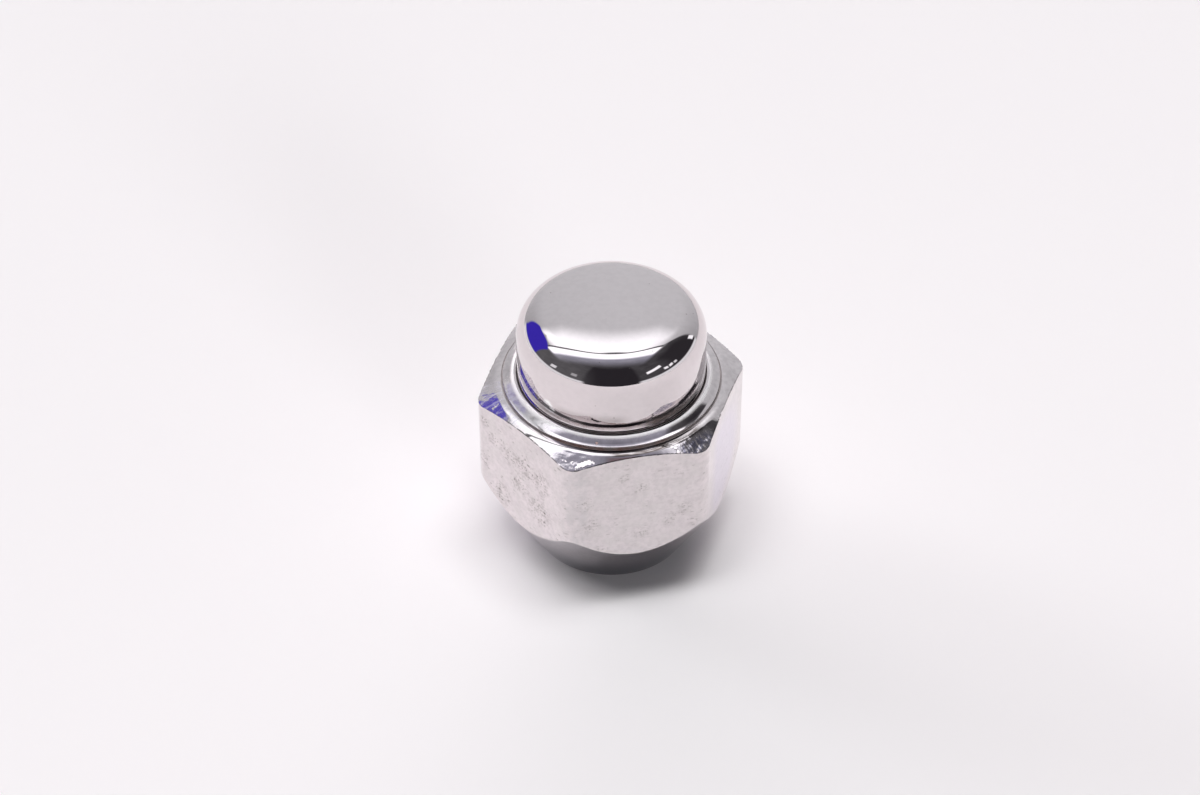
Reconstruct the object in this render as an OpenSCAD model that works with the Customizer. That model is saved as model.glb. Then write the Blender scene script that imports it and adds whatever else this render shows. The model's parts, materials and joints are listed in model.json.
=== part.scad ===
// Closed lug nut for a car wheel: a hexagon nut body with a conical seat,
// and a domed cap pressed from sheet that is held under the body's rolled lip.
// The nut stands on its open end. The axis is Z, and two corners of the hexagon lie on X.

/* [Wrench hexagon] */
// Width across the flats
hex_flats = 21; // [20:0.25:24]
// Radius of the six upright corners
corner_radius = 1.65; // [0.4:0.05:3]
// Angle of the faint edge where a round corner meets a flat
corner_edge_angle = 5; // [3:1:15]
// Height from the end face to the foot of the lip
body_height = 17.75; // [15:0.05:30]
// Slope of the chamfer under the lip
chamfer_angle = 25; // [20:1:40]

/* [Conical seat] */
// Included angle of the cone that centres the nut in the wheel
seat_angle = 60; // [50:1:90]
// Diameter of the flat end face, where the cone starts
end_face_diameter = 14; // [13.2:0.1:16]

/* [Thread] */
// Major diameter of the thread
thread_diameter = 12; // [10:0.5:12.5]
// Pitch of the thread
thread_pitch = 1.5; // [1:0.25:1.75]
// Width of the flat land around the mouth of the thread
end_land = 0.6; // [0.2:0.05:0.6]
// Width of the chamfer at the inner end of the thread
inner_chamfer = 0.9; // [0.3:0.1:1.2]

/* [Cap] */
// Outer diameter of the cap's straight wall
cap_diameter = 16.5; // [15:0.1:17]
// Height of the cap's top above the seat that its flange rests on
cap_height = 8.85; // [6.5:0.05:14]
// Thickness of the sheet that the cap is pressed from
sheet_thickness = 0.9; // [0.5:0.05:1.2]
// Radius of the shoulder between the wall and the crown
shoulder_radius = 2.9; // [1.6:0.1:5]
// Radius of the slightly domed crown
crown_radius = 30; // [16:1:80]
// Width of the flange beyond the wall
flange_width = 0.8; // [0.6:0.05:1.05]
// Inside radius of the bend from the wall to the flange
bend_radius = 0.2; // [0.1:0.05:0.2]

/* [Rolled lip] */
// Radial clearance around the flange in its pocket
flange_clearance = 0.05; // [0.02:0.01:0.2]
// Thickness of the body's wall around the pocket
pocket_wall = 0.59; // [0.4:0.01:0.8]
// Gap between the lip's inner edge and the cap's wall
lip_gap = 0.25; // [0.22:0.01:0.5]
// Height of the lip above its foot
lip_height = 0.7; // [0.65:0.01:1]
// Height of the flange's upper face above the lip's foot
flange_level = 0.3; // [0.25:0.01:0.35]
// Slope of the lip's upper face
lip_angle = 25; // [15:1:35]
// Radius of the lip's two edges
lip_edge_radius = 0.1; // [0.04:0.01:0.15]
// Width of the groove that rolling leaves outside the lip
groove_width = 0.14; // [0.05:0.01:0.3]
// Depth of that groove below the lip's foot
groove_depth = 0.07; // [0.02:0.01:0.2]

/* [Hidden] */
$fn = 96;

// Small overlap that keeps a cutting shape clear of the face it cuts through
margin = 1;

// Hexagon
half_flats = hex_flats / 2;
// Distance from the centre of a round corner to the flats beside it
corner_inset = corner_radius * cos(corner_edge_angle);
corner_centre = (half_flats - corner_inset) / cos(30);
corner_reach = corner_centre + corner_radius;

// Internal thread of the ISO metric form, bored to its minor diameter
bore_radius = (thread_diameter - 1.0825 * thread_pitch) / 2;
end_face_radius = end_face_diameter / 2;
mouth_radius = end_face_radius - end_land;

// Cap
cap_radius = cap_diameter / 2;
flange_radius = cap_radius + flange_width;

// Pocket and lip, placed around the cap's flange
pocket_radius = flange_radius + flange_clearance;
lip_foot_radius = pocket_radius + pocket_wall;
lip_outer_radius = lip_foot_radius - groove_width;
lip_inner_radius = cap_radius + lip_gap;
flange_top = body_height + flange_level;
cap_seat = flange_top - sheet_thickness;
lip_inner_centre = [lip_inner_radius + lip_edge_radius, body_height + lip_height - lip_edge_radius];
lip_run = lip_outer_radius - lip_inner_radius - 2 * lip_edge_radius;
lip_outer_centre = lip_inner_centre + [lip_run, -lip_run * tan(lip_angle)];
lip_normal = lip_edge_radius * [sin(lip_angle), cos(lip_angle)];

// Outer envelope of the turned section, a little wider than the hexagon's corners
envelope_radius = corner_reach + margin;
cone_height = (envelope_radius - end_face_radius) / tan(seat_angle / 2);
chamfer_drop = (envelope_radius - lip_foot_radius) * tan(chamfer_angle);

// Crown and shoulder: both arcs meet on the line through their centres
cap_top = cap_seat + cap_height;
crown_centre = cap_top - crown_radius;
shoulder_centre_radius = cap_radius - shoulder_radius;
centre_distance = crown_radius - shoulder_radius;
shoulder_rise = sqrt(pow(centre_distance, 2) - pow(shoulder_centre_radius, 2));
shoulder_centre = [shoulder_centre_radius, crown_centre + shoulder_rise];
bend_centre = [cap_radius + bend_radius, flange_top + bend_radius];

// Sharp hexagon, less what lies outside a circle at each of its corners
module hexagon_outline() {
    difference() {
        circle(half_flats / cos(30), $fn = 6);
        for (turn = [0:60:300])
            rotate(turn)
                difference() {
                    translate([corner_centre + corner_inset * cos(30), -corner_radius])
                        square(2 * corner_radius);
                    translate([corner_centre, 0])
                        rotate(180)
                            circle(corner_radius);
                }
    }
}

module body_section() {
    polygon([
        [bore_radius, mouth_radius - bore_radius],
        [mouth_radius, 0],
        [end_face_radius, 0],
        [envelope_radius, cone_height],
        [envelope_radius, body_height - chamfer_drop],
        [lip_foot_radius, body_height],
        [lip_outer_radius, body_height - groove_depth],
        [lip_outer_radius, lip_outer_centre[1]],
        lip_outer_centre + lip_normal,
        lip_inner_centre + lip_normal,
        [lip_inner_radius, lip_inner_centre[1]],
        [lip_inner_radius, flange_top],
        [pocket_radius, flange_top],
        [pocket_radius, cap_seat],
        [bore_radius + inner_chamfer, cap_seat],
        [bore_radius, cap_seat - inner_chamfer]
    ]);
    translate(lip_outer_centre)
        circle(lip_edge_radius);
    translate(lip_inner_centre)
        circle(lip_edge_radius);
}

module hex_body() {
    color([0.78, 0.77, 0.78])
        intersection() {
            linear_extrude(body_height + lip_height + margin)
                hexagon_outline();
            rotate_extrude()
                body_section();
        }
}

// Half of the cap's outline, drawn in by a given depth below the outer surface
module dome_section(depth) {
    wall = cap_radius - depth;
    square_height = shoulder_centre[1] - cap_seat;
    meeting_radius = shoulder_centre_radius * (crown_radius - depth) / centre_distance;
    translate([0, cap_seat])
        square([wall, square_height]);
    translate(shoulder_centre)
        circle(shoulder_radius - depth);
    intersection() {
        translate([0, crown_centre])
            circle(crown_radius - depth, $fn = 4 * $fn);
        translate([0, cap_seat])
            square([meeting_radius, cap_height]);
    }
}

// Flange with the outer, hollow side of the bend that leads into it
module flange_section() {
    difference() {
        translate([cap_radius - sheet_thickness, cap_seat])
            square([sheet_thickness + flange_width, sheet_thickness + bend_radius]);
        translate([bend_centre[0], flange_top])
            square([flange_width, bend_radius + margin]);
        translate(bend_centre)
            circle(bend_radius);
    }
}

// What the inner, rounded side of the same bend leaves empty
module bend_hollow() {
    difference() {
        translate([cap_radius - sheet_thickness, cap_seat])
            square(sheet_thickness + bend_radius);
        translate(bend_centre)
            circle(sheet_thickness + bend_radius);
    }
}

module end_cap() {
    color([0.80, 0.79, 0.80])
        rotate_extrude()
            difference() {
                union() {
                    dome_section(0);
                    flange_section();
                }
                dome_section(sheet_thickness);
                bend_hollow();
            }
}

hex_body();
end_cap();
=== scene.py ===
import json
import math

import bmesh
import bpy
from bpy.props import FloatProperty, FloatVectorProperty, IntProperty, PointerProperty
from mathutils import Matrix, Vector


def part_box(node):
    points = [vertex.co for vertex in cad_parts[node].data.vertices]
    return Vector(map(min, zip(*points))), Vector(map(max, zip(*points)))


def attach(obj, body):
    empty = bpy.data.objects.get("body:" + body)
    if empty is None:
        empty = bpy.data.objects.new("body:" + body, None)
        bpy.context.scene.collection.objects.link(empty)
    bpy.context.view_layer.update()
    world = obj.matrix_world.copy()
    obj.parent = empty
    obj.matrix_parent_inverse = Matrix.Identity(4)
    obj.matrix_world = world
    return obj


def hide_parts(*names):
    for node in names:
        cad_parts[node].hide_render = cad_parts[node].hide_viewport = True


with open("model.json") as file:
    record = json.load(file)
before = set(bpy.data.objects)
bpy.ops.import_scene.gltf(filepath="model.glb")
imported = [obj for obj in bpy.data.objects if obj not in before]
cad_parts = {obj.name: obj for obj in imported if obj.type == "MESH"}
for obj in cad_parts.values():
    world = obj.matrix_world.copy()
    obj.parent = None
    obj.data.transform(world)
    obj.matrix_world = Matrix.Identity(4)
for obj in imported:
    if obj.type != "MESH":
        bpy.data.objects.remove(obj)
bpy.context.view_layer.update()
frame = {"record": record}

bl_info = {
    "name": "Closed lug nut",
    "version": (1, 0, 0),
    "blender": (4, 5, 0),
    "location": "View3D > Sidebar > Lug nut",
    "description": "Dresses a chrome wheel nut with a domed cap, and sets the stage it stands on",
    "category": "Add Mesh",
}

BODY_LOW, BODY_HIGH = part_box("hex_body")
CAP_LOW, CAP_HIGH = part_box("end_cap")
MOUNTS = {mount["name"]: mount for mount in frame["record"]["mounts"]}
MM = 0.001
COS_30 = math.cos(math.radians(30))
TAN_30 = math.tan(math.radians(30))
DEGREES = math.degrees(1)
# Points nearer to each other than this are one point
DOUBLED = 0.0001 * MM


# ---------------------------------------------------------------- sizes and colours

class BodySizes(bpy.types.PropertyGroup):
    """Sizes of the hexagon body."""

    flats: FloatProperty(
        name="Across flats", description="Width of the hexagon across its flats",
        default=BODY_HIGH.y - BODY_LOW.y, unit="LENGTH")
    corner: FloatProperty(
        name="Corner radius", description="Radius of the six upright corners",
        default=1.65 * MM, unit="LENGTH")
    edge: FloatProperty(
        name="Edge width", description="Width of the soft edge where the turned faces cut the hexagon",
        default=0.18 * MM, unit="LENGTH")
    end_face: FloatProperty(
        name="End face radius", description="Radius at which the conical seat starts",
        default=7.0 * MM, unit="LENGTH")
    end_land: FloatProperty(
        name="End land", description="Width of the flat land around the thread's mouth",
        default=0.6 * MM, unit="LENGTH")
    seat_angle: FloatProperty(
        name="Seat angle", description="Angle between the conical seat and the nut's axis",
        default=math.radians(30), subtype="ANGLE")
    height: FloatProperty(
        name="Body height", description="Height from the end face to the foot of the lip",
        default=17.75 * MM, unit="LENGTH")
    chamfer_angle: FloatProperty(
        name="Chamfer angle", description="Slope of the chamfer under the lip",
        default=math.radians(25), subtype="ANGLE")
    chamfer_round: FloatProperty(
        name="Chamfer rounding", description="Radius at which the chamfer rounds over towards the lip",
        default=1.7 * MM, unit="LENGTH")
    lip_height: FloatProperty(
        name="Lip height", description="Height of the rolled lip above its foot",
        default=0.69 * MM, unit="LENGTH")
    lip_foot: FloatProperty(
        name="Lip foot radius", description="Radius at which the lip rises from the chamfer",
        default=9.67 * MM, unit="LENGTH")
    lip_inner: FloatProperty(
        name="Lip inner radius", description="Distance from the axis to the lip's inner edge",
        default=8.34 * MM, unit="LENGTH")
    lip_fillet: FloatProperty(
        name="Lip fillet", description="Rounding of the lip's inner edge, beside the cap's wall",
        default=0.04 * MM, unit="LENGTH")
    lip_angle: FloatProperty(
        name="Lip angle", description="Slope of the lip's upper face near its inner edge",
        default=math.radians(26), subtype="ANGLE")
    lip_curl: FloatProperty(
        name="Lip curl", description="How much steeper the lip's upper face is at its outer edge",
        default=math.radians(4), subtype="ANGLE")
    lip_round: FloatProperty(
        name="Lip rounding", description="Radius at which the lip's upper face rounds over inwards",
        default=0.62 * MM, unit="LENGTH")
    lip_edge: FloatProperty(
        name="Lip edge radius", description="Radius of the lip's outer edge",
        default=0.04 * MM, unit="LENGTH")
    rim_width: FloatProperty(
        name="Rim width", description="Width of the flatter rim along the lip's outer edge",
        default=0.2 * MM, unit="LENGTH")
    rim_angle: FloatProperty(
        name="Rim angle", description="Slope of that rim", default=math.radians(18), subtype="ANGLE")
    groove_width: FloatProperty(
        name="Groove width", description="Width of the groove that rolling leaves outside the lip",
        default=0.16 * MM, unit="LENGTH")
    groove_depth: FloatProperty(
        name="Groove depth", description="Depth of that groove below the lip's foot",
        default=0.07 * MM, unit="LENGTH")
    pocket: FloatProperty(
        name="Pocket radius", description="Radius of the pocket that holds the cap's flange",
        default=9.1 * MM, unit="LENGTH")
    thread_pitch: FloatProperty(
        name="Thread pitch", description="Rise of the thread in one turn",
        default=1.5 * MM, unit="LENGTH")
    thread_depth: FloatProperty(
        name="Thread depth", description="Depth of the thread's groove beyond the bore",
        default=0.812 * MM, unit="LENGTH")
    inner_chamfer: FloatProperty(
        name="Inner chamfer", description="Width of the chamfer at the thread's inner end",
        default=0.9 * MM, unit="LENGTH")
    ding: FloatProperty(
        name="Ding depth", description="Depth of the dings in the worst chamfer corner",
        default=0.12 * MM, unit="LENGTH")
    steps: IntProperty(
        name="Steps", description="Facets in one turn of the turned faces", default=360)


class CapSizes(bpy.types.PropertyGroup):
    """Sizes of the domed cap."""

    radius: FloatProperty(
        name="Wall radius", description="Outer radius of the cap's straight wall",
        default=8.25 * MM, unit="LENGTH")
    sheet: FloatProperty(
        name="Sheet", description="Thickness of the pressed sheet", default=0.9 * MM, unit="LENGTH")
    shoulder: FloatProperty(
        name="Shoulder radius", description="Radius between the wall and the crown",
        default=2.9 * MM, unit="LENGTH")
    crown: FloatProperty(
        name="Crown radius", description="Radius of the slightly domed crown",
        default=30.0 * MM, unit="LENGTH")
    bend: FloatProperty(
        name="Bend radius", description="Inside radius of the bend into the flange",
        default=0.08 * MM, unit="LENGTH")
    steps: IntProperty(
        name="Steps", description="Facets in one turn of the cap", default=360)


class FinishSettings(bpy.types.PropertyGroup):
    """Colours and wear of the plating."""

    chrome: FloatVectorProperty(
        name="Chrome", description="Colour of the plating",
        default=(0.76, 0.705, 0.715), subtype="COLOR", min=0, max=1)
    steel: FloatVectorProperty(
        name="Steel", description="Colour of the thinly plated steel inside the bore",
        default=(0.36, 0.34, 0.33), subtype="COLOR", min=0, max=1)
    # The seat's colour is darker than the plating to paint the shade that the seat mirrors
    seat: FloatVectorProperty(
        name="Seat", description="Colour of the duller plating on the conical seat",
        default=(0.26, 0.255, 0.29), subtype="COLOR", min=0, max=1)
    grime: FloatVectorProperty(
        name="Grime", description="Colour of the dirt in pits, scratches and the seam",
        default=(0.17, 0.14, 0.13), subtype="COLOR", min=0, max=1)
    rust: FloatVectorProperty(
        name="Rust", description="Colour of the few rust marks",
        default=(0.34, 0.12, 0.08), subtype="COLOR", min=0, max=1)
    roughness: FloatProperty(
        name="Roughness", description="Roughness of clean plating",
        default=0.035, subtype="FACTOR", min=0, max=1)


class StageSettings(bpy.types.PropertyGroup):
    """Camera, floor and light."""

    turn: FloatProperty(
        name="Turn", description="Direction that the camera looks in, anticlockwise from +Y",
        default=math.radians(-12.13), subtype="ANGLE")
    rise: FloatProperty(
        name="Rise", description="Angle of the camera above the floor",
        default=math.radians(41.9), subtype="ANGLE")
    roll: FloatProperty(
        name="Roll", description="Turn of the camera about its line of sight",
        default=math.radians(-0.12), subtype="ANGLE")
    aim: FloatVectorProperty(
        name="Aim", description="Point that the camera looks at",
        default=(-0.644 * MM, 1.738 * MM, 13.743 * MM), subtype="TRANSLATION")
    distance: FloatProperty(
        name="Distance", description="From the camera to the point it looks at",
        default=252.4 * MM, unit="LENGTH")
    lens: FloatProperty(
        name="Lens", description="Focal length on a 36 mm sensor, in millimetres", default=85.23)
    floor: FloatVectorProperty(
        name="Floor", description="Colour of the floor",
        default=(0.94, 0.923, 0.937), subtype="COLOR", min=0, max=1)
    floor_size: FloatProperty(
        name="Floor size", description="Side of the square floor", default=4.0, unit="LENGTH")
    backdrop: FloatVectorProperty(
        name="Backdrop", description="Colour of what the camera sees past the floor",
        default=(0.94, 0.923, 0.937), subtype="COLOR", min=0, max=1)
    lamp_size: FloatProperty(
        name="Lamp size", description="Width of each of the soft lamps", default=0.74, unit="LENGTH")
    lamp_distance: FloatProperty(
        name="Lamp distance", description="Distance of the soft lamps from the nut",
        default=2.1, unit="LENGTH")
    overhead: FloatProperty(
        name="Overhead share", description="Share of the floor's light from the lamp overhead",
        default=0.215, subtype="FACTOR", min=0, max=1)
    right: FloatProperty(
        name="Right share", description="Share from the high lamp at the right",
        default=0.275, subtype="FACTOR", min=0, max=1)
    left: FloatProperty(
        name="Left share", description="Share from the high lamp at the left",
        default=0.175, subtype="FACTOR", min=0, max=1)
    side: FloatProperty(
        name="Side share", description="Share from the low lamp behind the nut, at the left",
        default=0.07, subtype="FACTOR", min=0, max=1)
    front: FloatProperty(
        name="Front share", description="Share from the low lamp behind the camera, at the right",
        default=0.065, subtype="FACTOR", min=0, max=1)
    low: FloatProperty(
        name="Low share", description="Share from the low strip of sky behind the nut",
        default=0.2, subtype="FACTOR", min=0, max=1)
    even: FloatProperty(
        name="Even share", description="Share from all round, the same everywhere",
        default=0.015, subtype="FACTOR", min=0, max=1)


# ---------------------------------------------------------------- shader helpers

class Shade:
    """A socket of a node tree, on which Python arithmetic adds Math nodes."""

    def __init__(self, tree, socket=None):
        self.tree = tree
        self.socket = socket

    def make(self, kind, settings=None, sockets=None, output=0):
        """Add a node, set it up, fill its sockets with values or links, and return one output."""
        node = self.tree.nodes.new("ShaderNode" + kind)
        for name, value in (settings or {}).items():
            setattr(node, name, value)
        for key, value in (sockets or {}).items():
            if isinstance(value, Shade):
                self.tree.links.new(value.socket, node.inputs[key])
            else:
                node.inputs[key].default_value = value
        return Shade(self.tree, node.outputs[output])

    def output(self, key):
        """Another output of the same node."""
        return Shade(self.tree, self.socket.node.outputs[key])

    def parts(self):
        """The X, Y and Z, or red, green and blue, of a vector or a colour."""
        first = self.make("SeparateXYZ", sockets={"Vector": self})
        return first, first.output("Y"), first.output("Z")

    def math(self, operation, *others):
        """Add a Math node with this value first."""
        return self.make("Math", {"operation": operation}, dict(enumerate((self, *others))))

    def __add__(self, other):
        return self.math("ADD", other)

    __radd__ = __add__

    def __sub__(self, other):
        return self.math("SUBTRACT", other)

    def __rsub__(self, other):
        return self.make("Math", {"operation": "SUBTRACT"}, {0: other, 1: self})

    def __mul__(self, other):
        return self.math("MULTIPLY", other)

    __rmul__ = __mul__

    def smooth(self, start, end):
        """0 before start and 1 past end, with a soft curve between them."""
        return self.make("MapRange", {"interpolation_type": "SMOOTHSTEP"},
                         {"Value": self, "From Min": start, "From Max": end})

    def window(self, start, end, soft):
        """1 between start and end, fading to 0 across twice soft at each of them."""
        return self.smooth(start - soft, start + soft) * self.smooth(end + soft, end - soft)

    def towards(self, other, factor):
        """This value, blended towards another by a factor."""
        return self + (other - self) * factor


def paint(below, above, factor):
    """Blend a colour, as a tuple or a Shade, towards another by a Shade factor."""
    colours = [value if isinstance(value, Shade) else (*value, 1) for value in (below, above)]
    return factor.make("Mix", {"data_type": "RGBA"}, {0: factor, 6: colours[0], 7: colours[1]}, 2)


def scaled(colour, level):
    """A colour made lighter or darker by a factor."""
    return [level * value for value in colour]


def noise(place, per_mm, detail=2, stretch=(1, 1, 1)):
    """Soft noise from 0 to 1 with features about 1 / per_mm millimetres wide."""
    place = place.make("Mapping", sockets={"Vector": place, "Scale": stretch})
    return place.make("TexNoise", sockets={"Vector": place, "Scale": per_mm, "Detail": detail})


def specks(place, per_mm, share, radius, stretch=(1, 1, 1)):
    """Spots of a radius in millimetres, in a share of the cells of a random grid."""
    place = place.make("Mapping", sockets={"Vector": place, "Scale": stretch})
    cells = place.make("TexVoronoi", sockets={"Vector": place, "Scale": per_mm})
    chosen = cells.output("Color").parts()[0].smooth(1 - share, 1.02 - share)
    return chosen * cells.smooth(radius * per_mm, radius * per_mm * 0.4)


def distance(place, centre):
    """How far a place is from a point, in millimetres."""
    return place.make("VectorMath", {"operation": "DISTANCE"}, {0: place, 1: centre}, "Value")


def spot(place, centre, radius):
    """1 within a ragged spot round a point, given in millimetres."""
    return (distance(place, centre) + noise(place, 4, 3) * radius).smooth(radius * 1.7, radius * 1.1)


def near(place, marks, core=0.3):
    """1 in the core of any of the marks, fading to 0 at its reach, for (centre, reach) in millimetres."""
    closest = None
    for centre, reach in marks:
        mark = distance(place, centre).smooth(reach, reach * core)
        closest = mark if closest is None else closest.math("MAXIMUM", mark)
    return closest


# How far the outline of a dent wanders, in millimetres
DENT_RAGGED = 0.5


class Surface:
    """A metal material: its shader, and where a point lies (in millimetres and degrees) and faces."""

    def __init__(self, name):
        self.material = bpy.data.materials.new(name)
        self.material.use_nodes = True
        self.shader = self.material.node_tree.nodes["Principled BSDF"]
        coordinates = Shade(self.material.node_tree).make("TexCoord", output="Object")
        self.place = coordinates.make("Mapping", sockets={"Vector": coordinates, "Scale": (1 / MM,) * 3})
        x, y, self.height = self.place.parts()
        self.radius = (x * x + y * y).math("SQRT")
        self.angle = y.math("ARCTAN2", x) * DEGREES
        self.up = coordinates.output("Normal").parts()[2]

    def dent(self, lean, *marks):
        """Height in millimetres of a ragged dent over the marks that leans the surface by a slope."""
        ragged = self.place.make(
            "TexNoise", sockets={"Vector": self.place, "Scale": 3, "Detail": 3}, output="Color")
        shift = ragged.make(
            "VectorMath", {"operation": "MULTIPLY_ADD"},
            {0: ragged, 1: (DENT_RAGGED,) * 3, 2: (-DENT_RAGGED / 2,) * 3})
        moved = shift.make("VectorMath", {"operation": "ADD"}, {0: self.place, 1: shift})
        middle = sum(math.hypot(*centre[:2]) for centre, reach in marks) / len(marks)
        return near(moved, marks, 0.75) * (self.radius - middle) * lean

    def finish(self, colour, roughness, bump, dirt):
        """Link a colour, a roughness, a height in millimetres and a share that is not metal, for loose dirt
        and for painted highlights and reflections, to the shader.
        """
        normal = bump.make("Bump", sockets={"Distance": MM, "Height": bump})
        links = {"Base Color": colour, "Roughness": roughness, "Normal": normal, "Metallic": 1 - dirt}
        for name, value in links.items():
            self.material.node_tree.links.new(value.socket, self.shader.inputs[name])
        return self.material


def around(angle, centre, reach):
    """1 near a direction, given in degrees, fading to 0 at reach degrees from it."""
    far = (angle - centre).math("WRAP", 180, -180).math("ABSOLUTE")
    return far.smooth(reach, reach * 0.55)


# ---------------------------------------------------------------- finishes

# Directions of the hexagon's front corners, in degrees anticlockwise from +X
FRONT_LEFT = -120
FRONT_RIGHT = -60
LEFT = -180
# Height in millimetres above which the turned faces of the body are the chamfer, the groove and the lip
UNDER_LIP = 17
# Colours of the marks on the plating, and of the reflections and highlights painted on it
YELLOWED = (0.70, 0.67, 0.66)
WORN_EDGE = (0.56, 0.55, 0.56)
LILAC = (0.66, 0.62, 0.78)
LIP_REFLECTION = (0.52, 0.51, 0.53)
RIGHT_CORNER_TONE = (0.24, 0.23, 0.31)
LEFT_CORNER_REFLECTION = (0.68, 0.67, 0.78)
INNER_HIGHLIGHT = (0.97, 0.95, 0.97)
GLINT = (1, 1, 1)
# Middle and reach of the painted lilac reflection on the right flat, in millimetres
LILAC_REFLECTION_PLACE = (((8.4, -6.3, 11.5), 6.5),)
# Where the flats have rubbed most: centre and reach in millimetres
RUBBED = (
    ((-10.8, -2.2, 14.0), 1.2),
    ((-9.9, -3.8, 13.6), 1.5),
    ((-8.8, -5.7, 13.6), 1.8),
    ((-7.8, -7.4, 13.1), 1.7),
    ((-9.2, -5.0, 11.1), 1.5),
    ((-8.0, -7.2, 9.6), 2.0),
    ((-10.5, -2.8, 8.3), 1.7),
    ((-11.8, -0.5, 10.9), 1.2),
    ((-11.5, -1.0, 15.5), 0.8),
    ((-4.6, -10.5, 12.8), 1.1),
    ((-1.2, -10.5, 15.2), 0.7),
    ((0.5, -10.5, 13.9), 0.8),
    ((-4.1, -10.5, 10.2), 1.1),
    ((0.3, -10.5, 8.5), 0.9),
    ((2.8, -10.5, 9.8), 1.0),
    ((4.1, -10.5, 10.7), 1.0),
    ((5.0, -10.5, 9.0), 0.8),
    ((-3.3, -10.5, 6.9), 1.0),
)
# Dents in the chamfer that lean it back towards the cap: slope, then the marks that each is made of
DENTS = (
    (0.15, ((-5.25, -10.15, 17.05), 0.2), ((-5.0, -10.05, 17.15), 0.27), ((-4.7, -10.0, 17.2), 0.3),
     ((-4.4, -10.0, 17.3), 0.3), ((-4.1, -10.05, 17.3), 0.26), ((-3.8, -10.1, 17.3), 0.17)),
    (0.2, ((-6.24, -9.08, 17.25), 0.1)),
    (0.2, ((-6.0, -9.35, 17.2), 0.12)),
    (0.2, ((-5.5, -9.55, 17.2), 0.11)),
    (0.2, ((-5.8, -9.0, 17.35), 0.07)),
    (0.13, ((2.1, -9.75, 17.7), 0.12), ((2.4, -9.75, 17.7), 0.17), ((2.75, -9.75, 17.7), 0.2),
     ((3.1, -9.8, 17.6), 0.24), ((3.4, -10.0, 17.45), 0.22), ((3.6, -10.25, 17.3), 0.18),
     ((3.8, -10.4, 17.2), 0.14)),
    (0.2, ((6.15, -9.35, 17.15), 0.12)),
    (0.2, ((6.35, -9.2, 17.15), 0.13)),
    (0.2, ((4.5, -10.45, 17.1), 0.12), ((4.75, -10.45, 17.0), 0.1)),
    (0.2, ((-10.4, -1.4, 17.5), 0.12), ((-10.6, -1.5, 17.4), 0.12), ((-10.8, -1.6, 17.3), 0.14)),
)


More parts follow.
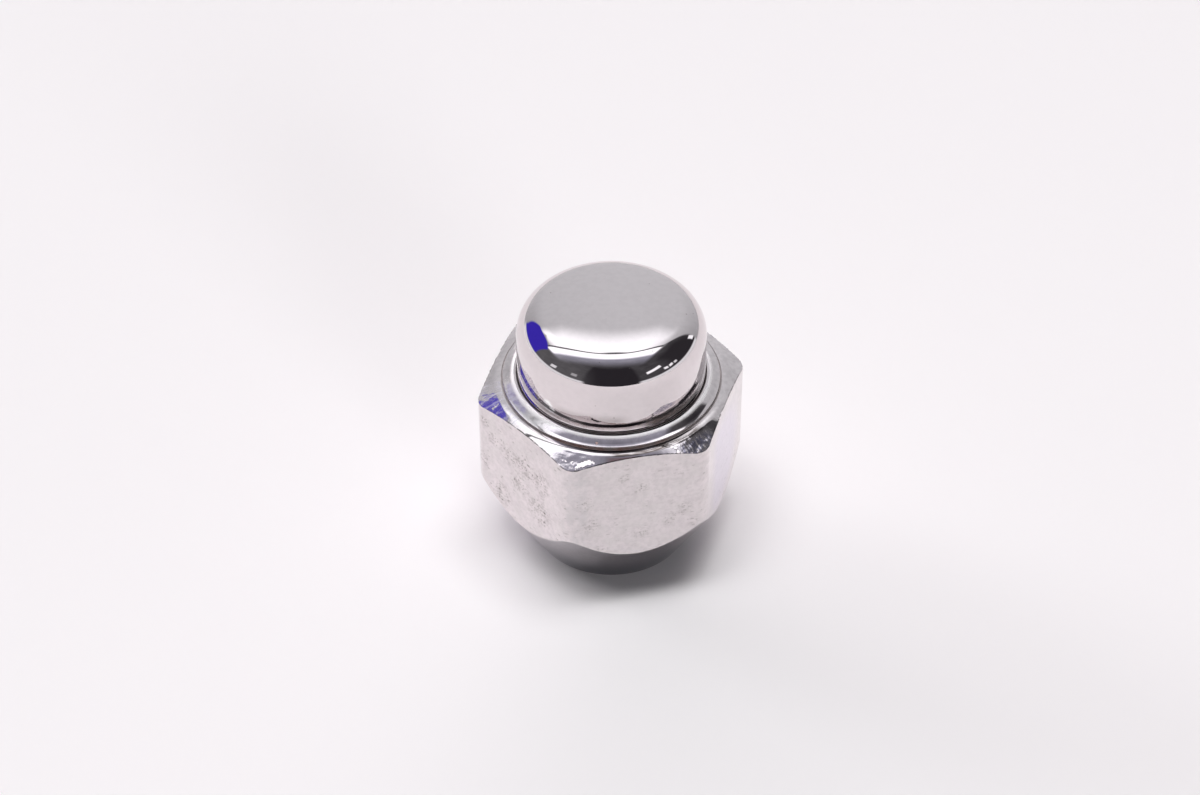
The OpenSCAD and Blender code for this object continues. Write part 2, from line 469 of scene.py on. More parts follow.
def body_chrome(finish):
    """Chrome on forged steel: pitted flats, struck corners, grime in the groove, bare steel in the bore,
    painted shade on the seat, and painted reflections and a painted highlight on the flats, chamfer and
    lip.
    """
    surface = Surface("body_chrome")
    place, angle, height, radius = surface.place, surface.angle, surface.height, surface.radius
    flats = surface.up.window(-0.3, 0.3, 0.1) * radius.smooth(9.8, 10.2)
    chamfer = surface.up.smooth(0.5, 0.75) * radius.smooth(9.7, 9.8)
    turned_lines = place.make("CombineXYZ", sockets={"X": radius, "Y": height, "Z": angle * 0.02})
    struck_lines = place.make("CombineXYZ", sockets={"X": angle * 0.2, "Y": radius * 0.3})

    # wear on the flats, lighter on the front one, and a painted reflection on the right flat
    worn = near(place, RUBBED)
    pits = specks(place, 5, 0.5, 0.09) + specks(place, 2.9, 0.5, 0.14) * 0.8
    pits = pits + specks(place, 1.6, 0.3, 0.2) * 0.6
    pits = pits * (0.1 + worn * 0.9) * noise(place, 3, 2).smooth(0.3, 0.52)
    scuffs = noise(place, 3.4, 4, (0.7, 0.7, 1.2)).smooth(0.46, 0.62)
    scuffs = scuffs * noise(place, 1.1, 2).smooth(0.32, 0.55)
    dashes = specks(place, 1.7, 0.5, 0.13, (0.3, 0.3, 1)) + specks(place, 2.9, 0.4, 0.1, (0.4, 0.4, 1))
    dashes = dashes * noise(place, 5, 2).smooth(0.4, 0.56) * noise(place, 0.4, 2).smooth(0.34, 0.6)
    front = angle.window(FRONT_LEFT + 2, FRONT_RIGHT - 2, 3)
    pits = (pits + dashes * 0.7).math("MINIMUM", 1) * flats * (1 - 0.4 * front)
    scuffs = scuffs * (worn + 0.08) * flats * (1 - 0.5 * front)
    rubs = noise(place, 1.0, 4, (0.5, 0.5, 2.6)).smooth(0.5, 0.75) * flats
    mottle = noise(place, 0.55, 5).smooth(0.35, 0.7) * 0.6 + noise(place, 2.2, 4).smooth(0.38, 0.66) * 0.6
    yellowed = noise(place, 0.8, 2).smooth(0.4, 0.65) * flats
    worn_edge = around(angle, FRONT_LEFT + 2, 7) * flats
    worn_edge = worn_edge * noise(place, 1.5, 4, (1, 1, 0.5)).smooth(0.35, 0.65)
    # painted reflection: a lilac tint on the right flat
    lilac_reflection = near(place, LILAC_REFLECTION_PLACE, 0.5) * around(angle, -27, 28) * flats

    # grime, rust and bare steel, and the seat that is painted darker as shade
    groove = radius.window(9.49, 9.66, 0.012) * height.window(UNDER_LIP, 17.93, 0.03)
    seam = radius.smooth(8.40, 8.35) * height.smooth(UNDER_LIP, 17.2)
    # the seat, painted darker as shade
    seat = surface.up.smooth(-0.3, -0.42) * radius.smooth(7.0, 7.1)
    bore = radius.smooth(6.5, 6.4) * height.smooth(17.2, UNDER_LIP)
    rusty = noise(place, 0.9, 3).smooth(0.3, 0.7) * around(angle, -105, 40)
    rust_mark = spot(place, (-3.2, -8.69, 18.2), 0.2)
    crumb = spot(place, (-7.29, -5.34, 18.3), 0.14)

    # marks on the chamfer, with a painted blue reflection at the left corner
    dull = angle.window(-102, -54, 4) * radius.window(9.68, 10.3, 0.05) * height.smooth(UNDER_LIP, 17.1)
    dull = dull * (0.35 + 0.55 * noise(turned_lines, 6, 1).smooth(0.35, 0.6))
    stained = around(angle, -92, 20) * chamfer * radius.smooth(10.05, 10.3)
    brown = around(angle, -97, 9) * chamfer * radius.smooth(10.3, 10.45)
    # a blue-grey tone over the front-right corner of the chamfer, partly not metal, stronger along the
    # strike lines
    right_corner_tone = around(angle, FRONT_RIGHT, 12) * chamfer * radius.smooth(10.2, 10.8)
    streaks = noise(struck_lines, 5, 2).smooth(0.35, 0.6)
    # painted reflection: bluish white over the left corner, broken up along the strike lines
    left_corner_reflection = around(angle, LEFT + 8, 22) * chamfer
    left_corner_reflection = left_corner_reflection * (0.12 + 0.5 * noise(struck_lines, 3, 3).smooth(0.42, 0.68))

    # marks on the lip: a painted highlight along its inner edge and a painted reflection on its left side
    inner_highlight = radius.smooth(8.52, 8.57) * radius.smooth(8.95, 8.62) * height.smooth(18.1, 18.2)
    # painted reflection: a grey band over the lip's left side, partly not metal
    lip_reflection = around(angle, LEFT + 17, 28) * radius.window(8.7, 9.45, 0.05) * height.smooth(17.88, 17.98)
    lip_reflection = lip_reflection * (0.6 + 0.4 * noise(place, 2.5, 3).smooth(0.35, 0.6))

    colour = paint(scaled(finish.chrome, 1.05), scaled(finish.chrome, 0.92), mottle)
    colour = paint(colour, YELLOWED, yellowed * 0.35)
    colour = paint(colour, WORN_EDGE, worn_edge * 0.35)
    # painted lilac reflection on the right flat
    colour = paint(colour, LILAC, lilac_reflection * 0.5)
    colour = paint(colour, finish.grime, (pits * 0.7 + scuffs * 0.34).math("MINIMUM", 0.85))
    colour = paint(colour, finish.grime, rubs * (0.06 + worn * 0.12))
    colour = paint(colour, finish.grime, groove * 0.6 + seam * 0.6 + crumb * 0.8 + dull + stained * 0.35)
    colour = paint(colour, finish.rust, groove * rusty * 0.5 + rust_mark * 0.8 + brown * 0.45)
    colour = paint(colour, finish.steel, bore)
    # painted shade: the seat darker, most towards its lower edge
    colour = paint(colour, finish.seat, seat * (1 - 0.6 * height.smooth(0.8, 5)))
    # painted reflection on the lip, a blue-grey tone on the front-right corner, a painted reflection at the
    # left corner and a painted highlight on the lip's inner edge
    colour = paint(colour, LIP_REFLECTION, lip_reflection)
    colour = paint(colour, RIGHT_CORNER_TONE, right_corner_tone * (0.3 + 0.7 * streaks))
    colour = paint(colour, LEFT_CORNER_REFLECTION, left_corner_reflection)
    colour = paint(colour, INNER_HIGHLIGHT, inner_highlight)

    dirt = groove * 0.35 + seam * 0.6 + rust_mark * 0.5 + crumb * 0.5
    # the painted highlight, the painted reflections and the right corner's tone are partly not metal, as
    # the dirt is
    dirt = dirt + inner_highlight + lip_reflection * 0.85 + right_corner_tone * 0.25 + left_corner_reflection * 0.6
    soiled = pits * 0.25 + scuffs * 0.1 + rubs * 0.06 + groove * 0.4 + seam * 0.4
    soiled = soiled + bore * 0.3 + rust_mark * 0.4 + dull * 0.12
    roughness = finish.roughness + noise(place, 2.5, 3) * 0.02 + soiled

    corners = around(angle, FRONT_LEFT, 13) * 0.25 + around(angle, FRONT_RIGHT, 13) * 0.3
    corners = corners + around(angle, LEFT, 12) * 0.25
    corners = (corners + 0.12) * chamfer * radius.smooth(10.1, 10.6)
    hammered = noise(place, 3.6, 3) * 0.016 + noise(place, 1.4, 2) * 0.02
    struck = noise(struck_lines, 4, 2) * around(angle, FRONT_RIGHT, 11) * chamfer
    bump = noise(place, 0.9, 2) * 0.003 + hammered * corners + struck * 0.014
    bump = bump - pits * 0.005 - rubs * 0.001
    for dent in DENTS:
        bump = bump + surface.dent(*dent)
    return surface.finish(colour, roughness, bump, dirt)


def cap_chrome(finish):
    """Chrome on the pressed cap: almost a mirror, with painted dark reflections low on the wall, a darker
    patch above them, a painted highlight, and dirt at its foot.
    """
    surface = Surface("cap_chrome")
    place, angle, height = surface.place, surface.angle, surface.height
    low = height.smooth(21.6, 19.8)
    smudges = noise(place, 1.1, 4, (0.7, 0.7, 1.3)).smooth(0.5, 0.75) * (low * 0.8 + 0.2)
    dust = specks(place, 1.3, 0.15, 0.1)
    cloud = noise(place, 1.8, 4).smooth(0.36, 0.68)
    foot = height.smooth(18.46, 18.34)
    crumb = spot(place, (7.72, -3.1, 18.2), 0.3)
    ragged = noise(place, 2.2, 4, (1, 1, 0.6))
    # painted dark reflection: a ragged black band low on the wall at the front right
    right_dark_reflection = around(angle, FRONT_RIGHT + 2, 30) * (height - ragged * 0.5).window(18.35, 19.3, 0.22)
    # a darker ragged patch on the wall at the front left, above its foot
    darker_patch = around(angle, FRONT_LEFT + 4, 28) * height.window(19.4, 20.2, 0.5) * (0.6 + 0.4 * ragged)
    # painted dark reflection: a soft band low on the wall round the front left
    low_dark_reflection = around(angle, FRONT_LEFT + 12, 62) * (height - ragged * 0.25).window(18.78, 19.15, 0.16)
    glint = spot(place, (-6.65, -4.87, 19.85), 0.55) + spot(place, (-6.35, -5.25, 19.6), 0.35)

    colour = paint(finish.chrome, scaled(finish.chrome, 0.97), cloud)
    colour = paint(colour, finish.grime, smudges * 0.12 + dust * 0.35 + darker_patch * 0.5)
    # painted dark reflection low on the wall at the front right
    colour = paint(colour, scaled(finish.grime, 0.25), right_dark_reflection * 0.95)
    # painted dark reflection in a soft band round the front left
    colour = paint(colour, finish.grime, low_dark_reflection * 0.5)
    colour = paint(colour, finish.grime, foot * 0.5 + crumb * 0.9)
    colour = paint(colour, GLINT, glint.math("MINIMUM", 1))
    roughness = finish.roughness * 0.7 + smudges * 0.05 + dust * 0.2
    roughness = roughness + foot * 0.3 + crumb * 0.5 + right_dark_reflection * 0.1
    bump = noise(place, 0.5, 2) * 0.0008
    return surface.finish(colour, roughness, bump, foot * 0.5 + crumb * 0.6)


def floor_white(settings):
    """Plain pale floor."""
    material = bpy.data.materials.new("floor_white")
    material.use_nodes = True
    shader = material.node_tree.nodes["Principled BSDF"]
    shader.inputs["Roughness"].default_value = 1
    shader.inputs["Specular IOR Level"].default_value = 0
    point = Shade(material.node_tree).make("TexCoord", output="Object")
    cloud = point.make("TexNoise", sockets={"Vector": point, "Scale": 9, "Detail": 2})
    colour = paint(settings.floor, scaled(settings.floor, 0.985), cloud)
    material.node_tree.links.new(colour.socket, shader.inputs["Base Color"])
    return material


# ---------------------------------------------------------------- modelling helpers

def deselect():
    """Leave edit mode and deselect every object."""
    if bpy.context.object and bpy.context.object.mode != "OBJECT":
        bpy.ops.object.mode_set(mode="OBJECT")
    bpy.ops.object.select_all(action="DESELECT")


def activate(piece):
    """Make one object the only selected one, and the active one."""
    deselect()
    bpy.context.view_layer.objects.active = piece
    piece.select_set(True)


def arc(centre, radius, start, end, count):
    """Points (radius from the axis, height) of an arc, its angles in degrees from outward to up."""
    turns = [math.radians(start + (end - start) * i / count) for i in range(count + 1)]
    return [(centre[0] + radius * math.cos(t), centre[1] + radius * math.sin(t)) for t in turns]


def outline_mesh(name, outline):
    """A new object, left in edit mode: one vertex extruded along an outline of (radius, height) points."""
    deselect()
    bpy.ops.mesh.primitive_plane_add(size=MM)
    piece = bpy.context.object
    piece.name = piece.data.name = name
    bpy.ops.object.mode_set(mode="EDIT")
    bpy.ops.mesh.select_mode(type="VERT")
    bpy.ops.mesh.select_all(action="SELECT")
    bpy.ops.mesh.merge(type="CENTER")
    bpy.ops.transform.translate(value=(outline[0][0], 0, outline[0][1]))
    for (from_r, from_z), (to_r, to_z) in zip(outline, outline[1:]):
        bpy.ops.mesh.extrude_region_move(
            TRANSFORM_OT_translate={"value": (to_r - from_r, 0, to_z - from_z)})
    bpy.ops.mesh.select_all(action="SELECT")
    return piece


def turned(name, outline, steps):
    """Spin an outline of (radius, height) points round the axis."""
    piece = outline_mesh(name, outline)
    bpy.ops.mesh.spin(steps=steps, angle=2 * math.pi, center=(0, 0, 0), axis=(0, 0, 1))
    tidy_surface()
    return piece


def tidy_surface():
    """Merge doubled points, turn every face of the edited mesh outwards and leave edit mode."""
    bpy.ops.mesh.select_all(action="SELECT")
    bpy.ops.mesh.remove_doubles(threshold=DOUBLED)
    bpy.ops.mesh.normals_make_consistent(inside=False)
    bpy.ops.object.mode_set(mode="OBJECT")


def add_modifier(piece, kind, **settings):
    """Add a modifier to a piece and apply it."""
    activate(piece)
    modifier = piece.modifiers.new(kind.lower(), kind)
    for name, value in settings.items():
        setattr(modifier, name, value)
    bpy.ops.object.modifier_apply(modifier=modifier.name)


def put_in_order(parts, key):
    """Number the points, edges or faces of an edited mesh in the order of a key."""
    ranks = {part: rank for rank, part in enumerate(sorted(parts, key=key))}
    parts.sort(key=ranks.get)
    parts.index_update()


def cut(piece, tool, operation):
    """Apply a boolean of piece with tool, delete the tool, and number what is left by its place."""
    add_modifier(piece, "BOOLEAN", operation=operation, solver="EXACT", object=tool)
    bpy.data.meshes.remove(tool.data)
    # a boolean leaves its points in a different order in each run
    mesh = bmesh.new()
    mesh.from_mesh(piece.data)
    put_in_order(mesh.verts, lambda vertex: tuple(vertex.co))
    put_in_order(mesh.edges, lambda edge: sorted(vertex.index for vertex in edge.verts))
    put_in_order(mesh.faces, lambda face: sorted(vertex.index for vertex in face.verts))
    mesh.to_mesh(piece.data)
    mesh.free()


def select_edges(piece, wanted):
    """In edit mode, select the edges of piece for which wanted(edge) is true."""
    bpy.ops.mesh.select_all(action="DESELECT")
    bpy.ops.mesh.select_mode(type="EDGE")
    mesh = bmesh.from_edit_mesh(piece.data)
    for edge in mesh.edges:
        edge.select_set(wanted(edge))
    bmesh.update_edit_mesh(piece.data)


# Faces that meet at a smaller angle than this are shaded as one smooth surface
SMOOTH_BELOW = math.radians(26)


def finish_piece(piece, node, material):
    """Smooth a finished piece, give it its material, attach it to the root body and hide the CAD node that
    it replaces.
    """
    activate(piece)
    bpy.ops.object.shade_smooth_by_angle(angle=SMOOTH_BELOW)
    add_modifier(piece, "WEIGHTED_NORMAL", mode="FACE_AREA_WITH_ANGLE", keep_sharp=True)
    piece.data.materials.clear()
    piece.data.materials.append(material)
    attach(piece, "root")
    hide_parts(node)


# ---------------------------------------------------------------- the hexagon body

# Rings of points on the chamfer, enough for its dings
CHAMFER_RINGS = 24
# Direction that the rounded end of the chamfer faces at the lip's foot, in degrees from outward to up
ROUNDED_TO = 87
# Width of the narrow bevel at the bottom of the groove
CREASE = 0.03 * MM
# Radius of the soft edge between the end face and the seat
SOFT_EDGE = 0.15 * MM
# Points on the flats' edges that lie nearer than this are merged before the edges are bevelled
SLIVER = 0.05 * MM
# How far the thread's cutter starts inside the bore, and how far its ridge rounds up at the root
CLEAR = 0.2 * MM
ROUNDED_ROOT = 0.05 * MM
# Size of one ding, and the height of the unmarked band below the lip's foot
DING_SIZE = 0.55 * MM
KEPT_FOOT = 0.15 * MM
# How far the normal of an upright face rises at most, and that of a leaning face at least
UPRIGHT = 0.02
LEANING = 0.3


def chamfer_outline(sizes, outer):
    """The chamfer, from well outside the hexagon to where it rounds over at the lip's foot."""
    slope = 90 - math.degrees(sizes.chamfer_angle)
    round_r = sizes.lip_foot - sizes.chamfer_round * math.cos(math.radians(ROUNDED_TO))
    round_z = sizes.height - sizes.chamfer_round * math.sin(math.radians(ROUNDED_TO))
    start_r = round_r + sizes.chamfer_round * math.cos(math.radians(slope))
    start_z = round_z + sizes.chamfer_round * math.sin(math.radians(slope))
    drop = (outer - start_r) * math.tan(sizes.chamfer_angle)
    rings = [(outer + (start_r - outer) * i / CHAMFER_RINGS, start_z - drop * (1 - i / CHAMFER_RINGS))
             for i in range(CHAMFER_RINGS)]
    return rings + arc((round_r, round_z), sizes.chamfer_round, slope, ROUNDED_TO, 8)


def lip_outline(sizes, groove_z):
    """The rolled lip, from the bottom of the groove outside it to its inner edge."""
    outer = sizes.lip_foot - sizes.groove_width
    lip_top = sizes.height + sizes.lip_height
    top = 90 - math.degrees(sizes.lip_angle)
    low = top - math.degrees(sizes.lip_curl)
    rim = 90 - math.degrees(sizes.rim_angle)
    round_r = sizes.lip_inner + sizes.lip_fillet
    round_z = lip_top - sizes.lip_round
    face_r = round_r + sizes.lip_round * math.cos(math.radians(top))
    face_z = round_z + sizes.lip_round * math.sin(math.radians(top))
    rim_r = outer - sizes.rim_width
    curl = (rim_r - face_r) / (math.cos(math.radians(low)) - math.cos(math.radians(top)))
    centre = (face_r - curl * math.cos(math.radians(top)), face_z - curl * math.sin(math.radians(top)))
    face = arc(centre, curl, low, top, 6)
    edge_r = outer - sizes.lip_edge
    edge_top = face[0][1] - (edge_r - rim_r) * math.tan(sizes.rim_angle)
    points = [(outer + CREASE, groove_z), (outer, groove_z + CREASE)]
    points += arc((edge_r, edge_top - sizes.lip_edge), sizes.lip_edge, 0, rim, 6)
    points += face
    points += arc((round_r, round_z), sizes.lip_round, top, 90, 8)[1:]
    return points + arc((round_r, lip_top - sizes.lip_fillet), sizes.lip_fillet, 90, 180, 6)[1:]


def body_outline(sizes, bore, reach):
    """Closed outline of the turned blank: bore, mouth, seat, chamfer, lip and pocket."""
    outer = reach + MM
    mouth = sizes.end_face - sizes.end_land
    seat_z = CAP_LOW.z
    flange_top = seat_z + bpy.context.scene.lugnut_cap.sheet
    # centre of the soft edge between the end face and the seat
    tip = sizes.end_face - SOFT_EDGE * math.tan((math.pi / 2 - sizes.seat_angle) / 2)
    points = [(bore, mouth - bore), (mouth, 0)]
    points += arc((tip, SOFT_EDGE), SOFT_EDGE, -90, -math.degrees(sizes.seat_angle), 5)
    points += [(outer, (outer - sizes.end_face) / math.tan(sizes.seat_angle))]
    points += chamfer_outline(sizes, outer)
    groove_z = points[-1][1] - sizes.groove_depth
    points += [(sizes.lip_foot - CREASE / 2, groove_z)]
    points += lip_outline(sizes, groove_z)
    points += [(sizes.lip_inner, flange_top), (sizes.pocket, flange_top), (sizes.pocket, seat_z)]
    points += [(bore + sizes.inner_chamfer, seat_z), (bore, seat_z - sizes.inner_chamfer)]
    return points + points[:1]


def hexagon_bar(sizes):
    """An upright hexagon bar with rounded corners, two of them on the X axis."""
    deselect()
    height = 1.5 * BODY_HIGH.z
    bpy.ops.mesh.primitive_cylinder_add(
        vertices=6, radius=sizes.flats / 2 / COS_30, depth=height,
        location=(0, 0, BODY_HIGH.z / 2), rotation=(0, 0, math.radians(30)))
    bar = bpy.context.object
    bar.name = "hexagon_bar"
    bpy.ops.object.transform_apply(location=True, rotation=True, scale=True)
    bpy.ops.object.mode_set(mode="EDIT")
    select_edges(bar, lambda edge: abs(edge.verts[0].co.z - edge.verts[1].co.z) > height / 2)
    bpy.ops.mesh.bevel(
        offset_type="OFFSET", offset=sizes.corner * TAN_30, segments=16, profile=0.5, affect="EDGES")
    bpy.ops.object.mode_set(mode="OBJECT")
    return bar


def thread_cutter(bore, sizes):
    """A helical ridge of the ISO metric form that cuts the thread's groove into the bore."""
    pitch = sizes.thread_pitch
    root = bore + sizes.thread_depth
    start = -1.5 * pitch
    wide = pitch * 3 / 8 + CLEAR * TAN_30
    narrow = pitch / 16
    section = [(bore - CLEAR, start - wide), (root, start - narrow), (root + ROUNDED_ROOT, start),
               (root, start + narrow), (bore - CLEAR, start + wide), (bore - CLEAR, start - wide)]
    cutter = outline_mesh("thread_cutter", section)
    bpy.ops.mesh.remove_doubles(threshold=DOUBLED)
    bpy.ops.object.mode_set(mode="OBJECT")
    turns = math.ceil((CAP_LOW.z + 3 * pitch) / pitch)
    add_modifier(cutter, "SCREW", axis="Z", angle=2 * math.pi, screw_offset=pitch,
                 iterations=turns, steps=72, render_steps=72)
    bpy.ops.object.mode_set(mode="EDIT")
    bpy.ops.mesh.select_all(action="SELECT")
    bpy.ops.mesh.fill_holes(sides=0)
    tidy_surface()
    return cutter


def ding_corner(piece, sizes, angle, share, spread):
    """Dent the chamfer round one corner of the hexagon, to a share of the deepest ding."""
    reach = BODY_HIGH.x - 0.5 * MM
    corner_z = sizes.height - (reach - sizes.lip_foot) * math.tan(sizes.chamfer_angle)
    turn = math.radians(angle)
    corner = Vector((reach * math.cos(turn), reach * math.sin(turn), corner_z))
    group = piece.vertex_groups.new(name="dings")
    for vertex in piece.data.vertices:
        far = (vertex.co - corner).length / spread
        on_chamfer = BODY_HIGH.z / 2 < vertex.co.z < sizes.height - KEPT_FOOT
        if far < 1 and on_chamfer:
            group.add([vertex.index], (1 - far * far) ** 2, "REPLACE")
    texture = bpy.data.textures.new("dings", "CLOUDS")
    texture.noise_scale = DING_SIZE
    texture.noise_depth = 1
    texture.contrast = 1.6
    add_modifier(piece, "DISPLACE", texture=texture, texture_coords="LOCAL", vertex_group=group.name,
                 direction="NORMAL", mid_level=1, strength=share * sizes.ding)
    piece.vertex_groups.clear()


# Corners of the hexagon that sockets have struck: angle in degrees, share of the deepest ding, reach
STRUCK_CORNERS = (
    (240, 0.3, 2.2 * MM),
    (300, 0.45, 3.0 * MM),
    (180, 0.15, 1.8 * MM),
    (0, 0.3, 1.8 * MM),
    (60, 0.3, 1.8 * MM),
    (120, 0.3, 1.8 * MM),
)


def soften_edges(piece, sizes):
    """Bevel the edges that the seat and the chamfer make with the flats."""
    inner = sizes.lip_foot + 0.3 * MM

    def crosses_flats(edge):
        if len(edge.link_faces) != 2 or edge.verts[0].co.xy.length < inner:
            return False
        ups = sorted(abs(face.normal.z) for face in edge.link_faces)
        return ups[0] < UPRIGHT and ups[1] > LEANING

    activate(piece)
    bpy.ops.object.mode_set(mode="EDIT")
    select_edges(piece, crosses_flats)
    bpy.ops.mesh.remove_doubles(threshold=SLIVER)
    select_edges(piece, crosses_flats)
    bpy.ops.mesh.bevel(offset_type="WIDTH", offset=sizes.edge, segments=2, profile=0.5, affect="EDGES")
    tidy_surface()


class LUGNUT_OT_hex_body(bpy.types.Operator):
    """Model the hexagon body with its seat, chamfer, rolled lip and thread"""

    bl_idname = "lugnut.hex_body"
    bl_label = "Hexagon body"

    def execute(self, context):
        sizes = context.scene.lugnut_body
        bore = MOUNTS["stud_thread"]["dims"]["r_mm"] * MM
        body = turned("nut_body", body_outline(sizes, bore, BODY_HIGH.x), sizes.steps)
        for angle, share, spread in STRUCK_CORNERS:
            ding_corner(body, sizes, angle, share, spread)
        cut(body, hexagon_bar(sizes), "INTERSECT")
        soften_edges(body, sizes)
        cut(body, thread_cutter(bore, sizes), "DIFFERENCE")
        finish_piece(body, "hex_body", body_chrome(context.scene.lugnut_finish))
        return {"FINISHED"}


# ---------------------------------------------------------------- the domed cap

def cap_outline(sizes):
    """Outline of the cap's sheet, from the crown down to the flange and back up inside."""
    crown_centre = CAP_HIGH.z - sizes.crown
    middle = sizes.radius - sizes.shoulder
    reach = sizes.crown - sizes.shoulder
    shoulder_z = crown_centre + math.sqrt(reach ** 2 - middle ** 2)
    tangent = math.degrees(math.acos(middle / reach))
    flange_top = CAP_LOW.z + sizes.sheet
    bend = (sizes.radius + sizes.bend, flange_top + sizes.bend)
    points = arc((0, crown_centre), sizes.crown, 90, tangent, 16)
    points[0] = (0, CAP_HIGH.z)
    points += arc((middle, shoulder_z), sizes.shoulder, tangent, 0, 36)[1:]
    points += [(sizes.radius, shoulder_z + (bend[1] - shoulder_z) * i / 6) for i in range(1, 6)]
    points += arc(bend, sizes.bend, 180, 270, 6)
    points += [(CAP_HIGH.x, flange_top), (CAP_HIGH.x, CAP_LOW.z)]
    points += arc(bend, sizes.bend + sizes.sheet, 270, 180, 10)
    points += arc((middle, shoulder_z), sizes.shoulder - sizes.sheet, 0, tangent, 16)
    points += arc((0, crown_centre), sizes.crown - sizes.sheet, tangent, 90, 8)[1:-1]
    return points + [(0, CAP_HIGH.z - sizes.sheet)]


class LUGNUT_OT_cap(bpy.types.Operator):
    """Model the pressed, domed cap with its flange"""

    bl_idname = "lugnut.cap"
    bl_label = "Domed cap"

    def execute(self, context):
        sizes = context.scene.lugnut_cap
        cap = turned("domed_cap", cap_outline(sizes), sizes.steps)
        finish_piece(cap, "end_cap", cap_chrome(context.scene.lugnut_finish))
        return {"FINISHED"}


# ---------------------------------------------------------------- the stage

# Small lights in the dark of the room: heading from and to, rise from and to, strength, slant.
# Headings are in degrees right of the camera's line, and rises in degrees above the floor
ROOM_LIGHTS = (
    (63, 67.5, 12, 24, 1.3, 0),
    (99.5, 103.5, 12.5, 18.5, 0.9, 0),
    (105.5, 110.5, 13.5, 20, 1.2, 0.3),
    (112.5, 117.5, 12, 18.5, 1.2, -0.3),
    (118, 138, 26.5, 33.5, 1.3, 0.23),
    (-114, -107, 12, 20, 0.9, 0.3),
    (-140, -133, 15, 23, 0.45, 0),
)
# Brightness of what the chrome mirrors, where 1 is white
DARK_ROOM = 0.03
DARK_BEHIND = 0.024
DARK_RIGHT = 0.028
HORIZON = 0.9
SWEEP = 0.68
SWEEP_EDGE = 1.5
DARK_GAP = 0.14
SOFT_BOX = 1.6
BLUE = (0.05, 0.03, 0.5)
# Brightness of the low strip of light behind the nut that gives the floor as much as an even sky of 1
LOW_STRIP = 190
# Tint of the light on the floor: of the sky, which is a little pink, and of the lamps
SKY_TINT = {"Red": 1.06, "Green": 0.96, "Blue": 0.99}
LAMP_TINT = (0.995, 0.995, 1.0)


def studio_light(direction, heading, rise):
    """What the chrome mirrors, by heading (degrees right of the camera's line) and rise (degrees)."""
    across, ahead, up = direction.parts()
    over = up.math("ARCTAN2", ahead) * DEGREES
    right = across.math("MAXIMUM", 0)
    left = (across * -1).math("MAXIMUM", 0)

    # the dark room, with the glow under the soft box and a pale horizon
    mottle = direction.make("TexNoise", sockets={"Vector": direction, "Scale": 6, "Detail": 3})
    behind = heading.math("ABSOLUTE").smooth(145, 152)
    glow = over.smooth(118, 87) * across.window(-0.75, 0.46, 0.05)
    room = (DARK_ROOM + 0.07 * mottle).towards(DARK_BEHIND, behind * rise.smooth(66, 56))
    room = room.towards(DARK_RIGHT, heading.window(62, 108, 9) * rise.smooth(58, 46))
    room = room + 0.05 * left.smooth(0.2, 0.7) + 0.3 * glow * (0.75 + 0.5 * mottle)
    room = room.towards(HORIZON, rise.smooth(8, 4) * (1 - behind))

    # the pale sweep behind the nut, brighter towards its upper edge
    rim = 64.9 + 9 * across.smooth(0.05, -0.55) + right * right * 26
    bright = (over - (57 - across * across * 110).math("MAXIMUM", 52)).smooth(-5, 4)
    bright = bright * across.smooth(-0.72, -0.45) * across.smooth(0.52, 0.12)
    sweep = (SWEEP + across * 0.06 - across * across * 0.4).towards(SWEEP_EDGE, bright)
    upper = (rise - 46.5).smooth(-1.5, 1.5) * heading.smooth(-92, -86)
    start = heading.smooth(-52, -44).math("MAXIMUM", upper)
    end = (64.5 - rise * rise * 0.0045 - heading).smooth(-2, 2)
    light = room.towards(sweep, start * end * (rim - over).smooth(-1, 1))

    # the soft box overhead, past a thin dark gap
    gap = (over - rim).window(-1.3, 1.4, 0.5) * across.window(-0.74, 0.44, 0.03)
    light = light.towards(DARK_GAP, gap)
    soft_box = (over - rim).smooth(1.2, 2.6) * (over - 85.5 - left * 7).smooth(4, -4)
    light = light.towards(SOFT_BOX, soft_box * across.smooth(-0.77, -0.71) * across.smooth(0.47, 0.41))

    # the small lights, a white that is slightly blue, and the blue patch low at the left
    for first, last, low, high, strength, slant in ROOM_LIGHTS:
        level = rise + (heading - first) * slant
        light = light.towards(strength, heading.window(first, last, 1) * level.window(low, high, 1.2))
    white = direction.make("CombineColor", sockets={
        "Red": light * 0.98 + 0.003,
        "Green": light,
        "Blue": light * 1.03 + 0.004 + glow * over.smooth(78, 87) * 0.06})
    from_middle = heading + 62
    blue_top = 45.3 - from_middle * from_middle * 0.0154
    blue_side = (rise - 12).math("MAXIMUM", 0) * 0.28 - 48.5
    blue = heading.smooth(-85, -82) * (blue_side - heading).smooth(-1.5, 1.5)
    return paint(white, BLUE, blue * rise.smooth(4.5, 7.5) * (blue_top - rise).smooth(-1.2, 1.2))


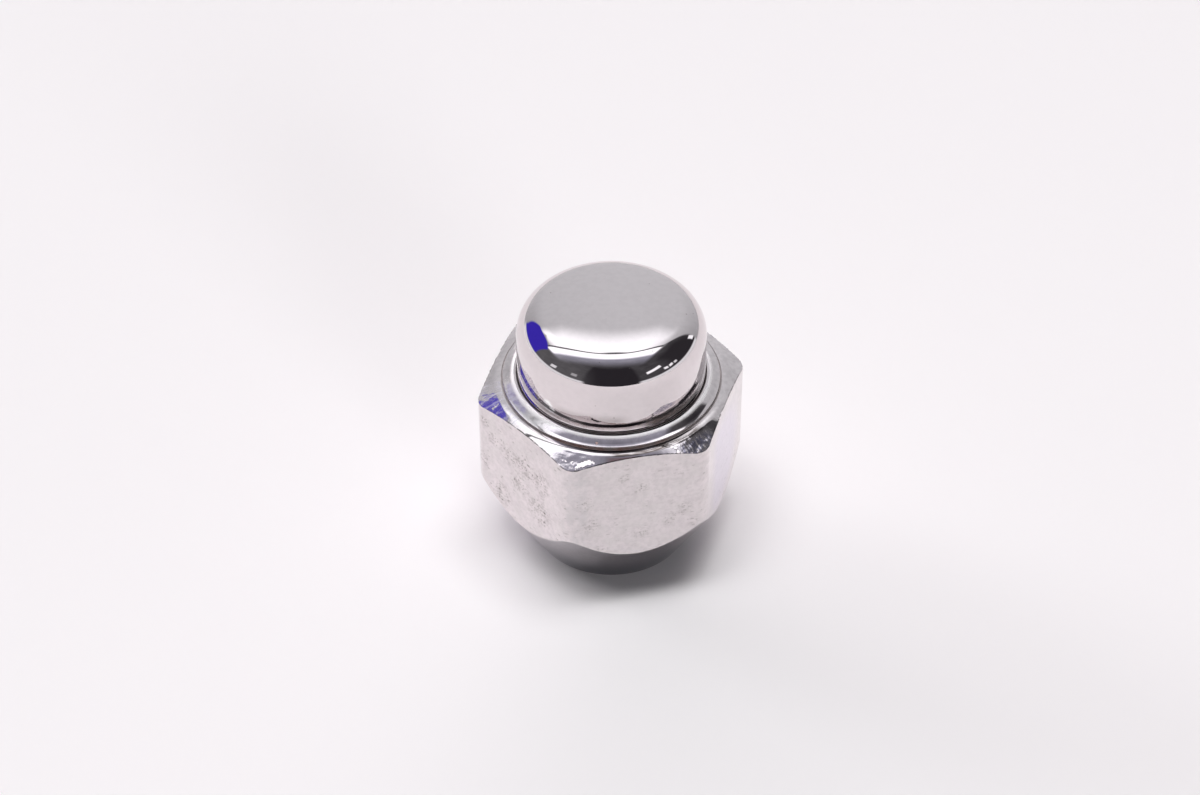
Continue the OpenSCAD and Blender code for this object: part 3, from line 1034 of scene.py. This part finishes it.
def studio_world(context, settings):
    """Light the floor from a low strip behind the nut, and give the chrome a studio to mirror."""
    world = bpy.data.worlds.new("studio")
    context.scene.world = world
    world.use_nodes = True
    direction = Shade(world.node_tree).make("TexCoord", output="Generated")
    facing = direction.make(
        "VectorRotate", {"rotation_type": "Z_AXIS"}, {"Vector": direction, "Angle": -settings.turn})
    x, y, z = facing.parts()
    rise = z.math("ARCSINE") * DEGREES
    heading = x.math("ARCTAN2", y) * DEGREES
    mirrored = studio_light(facing, heading, rise)
    strip = heading.window(-50, 20, 18) * rise.window(-20, 9, 5)
    ambient = settings.even + settings.low * LOW_STRIP * strip
    is_camera = direction.make("LightPath", output="Is Camera Ray")
    colour = direction.make(
        "CombineColor", sockets={channel: ambient * tint for channel, tint in SKY_TINT.items()})
    colour = paint(colour, mirrored, is_camera.output("Is Glossy Ray"))
    colour = paint(colour, settings.backdrop, is_camera)
    world.node_tree.links.new(colour.socket, world.node_tree.nodes["Background"].inputs["Color"])


# The soft lamps: the name of their share, then heading and rise in degrees
LAMPS = (
    ("overhead", -150, 80),
    ("right", 90, 80),
    ("left", -120, 70),
    ("side", -60, 15),
    ("front", 150, 15),
)


def add_lamp(settings, name, heading, rise, share):
    """Hang a soft lamp, unseen by the chrome, that gives the floor a share of its light."""
    bpy.ops.object.light_add(type="AREA")
    lamp = bpy.context.object
    lamp.name = name
    lamp.data.shape = "DISK"
    lamp.data.size = settings.lamp_size
    lamp.data.color = LAMP_TINT
    lamp.data.energy = share * (math.pi * settings.lamp_distance) ** 2 / math.sin(math.radians(rise))
    lamp.visible_glossy = False
    lamp.matrix_world = (Matrix.Rotation(settings.turn - math.radians(heading), 4, "Z")
                         @ Matrix.Rotation(math.radians(rise - 90), 4, "X")
                         @ Matrix.Translation((0, 0, settings.lamp_distance)))


def add_camera(context, settings):
    """Put the camera on its line of sight and turn it towards the nut."""
    bpy.ops.object.camera_add()
    camera = bpy.context.object
    camera.name = "camera"
    camera.data.lens = settings.lens
    camera.data.sensor_width = 36
    camera.data.clip_start = 0.01
    camera.data.clip_end = 20
    view = (Matrix.Rotation(settings.turn, 4, "Z")
            @ Matrix.Rotation(math.pi / 2 - settings.rise, 4, "X")
            @ Matrix.Rotation(settings.roll, 4, "Z"))
    camera.matrix_world = (
        Matrix.Translation(settings.aim) @ view @ Matrix.Translation((0, 0, settings.distance)))
    context.scene.camera = camera


class LUGNUT_OT_stage(bpy.types.Operator):
    """Lay the floor, light the studio and place the camera"""

    bl_idname = "lugnut.stage"
    bl_label = "Stage"

    def execute(self, context):
        settings = context.scene.lugnut_stage
        deselect()
        bpy.ops.mesh.primitive_grid_add(size=settings.floor_size, x_subdivisions=4, y_subdivisions=4)
        floor = bpy.context.object
        floor.name = "floor"
        floor.data.materials.append(floor_white(settings))
        studio_world(context, settings)
        for name, heading, rise in LAMPS:
            add_lamp(settings, name + "_lamp", heading, rise, getattr(settings, name))
        add_camera(context, settings)
        context.scene.view_settings.view_transform = "Standard"
        return {"FINISHED"}


# ---------------------------------------------------------------- panel and registration

class LUGNUT_PT_panel(bpy.types.Panel):
    """The lug nut's sizes and colours, and the buttons that build it"""

    bl_idname = "LUGNUT_PT_panel"
    bl_label = "Lug nut"
    bl_space_type = "VIEW_3D"
    bl_region_type = "UI"
    bl_category = "Lug nut"

    def draw(self, context):
        for operator, group in STEPS:
            box = self.layout.box()
            box.operator(operator.bl_idname)
            self.list_settings(box, getattr(context.scene, group))
        self.list_settings(self.layout.box(), context.scene.lugnut_finish)

    @staticmethod
    def list_settings(box, settings):
        """Show every setting of a group in a box."""
        for name in settings.bl_rna.properties.keys():
            if name not in ("rna_type", "name"):
                box.prop(settings, name)


GROUPS = {
    "lugnut_body": BodySizes,
    "lugnut_cap": CapSizes,
    "lugnut_finish": FinishSettings,
    "lugnut_stage": StageSettings,
}
STEPS = (
    (LUGNUT_OT_stage, "lugnut_stage"),
    (LUGNUT_OT_hex_body, "lugnut_body"),
    (LUGNUT_OT_cap, "lugnut_cap"),
)
CLASSES = (*GROUPS.values(), *(operator for operator, group in STEPS), LUGNUT_PT_panel)


def register():
    for cls in CLASSES:
        bpy.utils.register_class(cls)
    for name, group in GROUPS.items():
        setattr(bpy.types.Scene, name, PointerProperty(type=group))


def unregister():
    for name in GROUPS:
        delattr(bpy.types.Scene, name)
    for cls in reversed(CLASSES):
        bpy.utils.unregister_class(cls)


def main():
    register()
    bpy.ops.lugnut.stage()
    bpy.ops.lugnut.hex_body()
    bpy.ops.lugnut.cap()


if __name__ == "__main__":
    main()
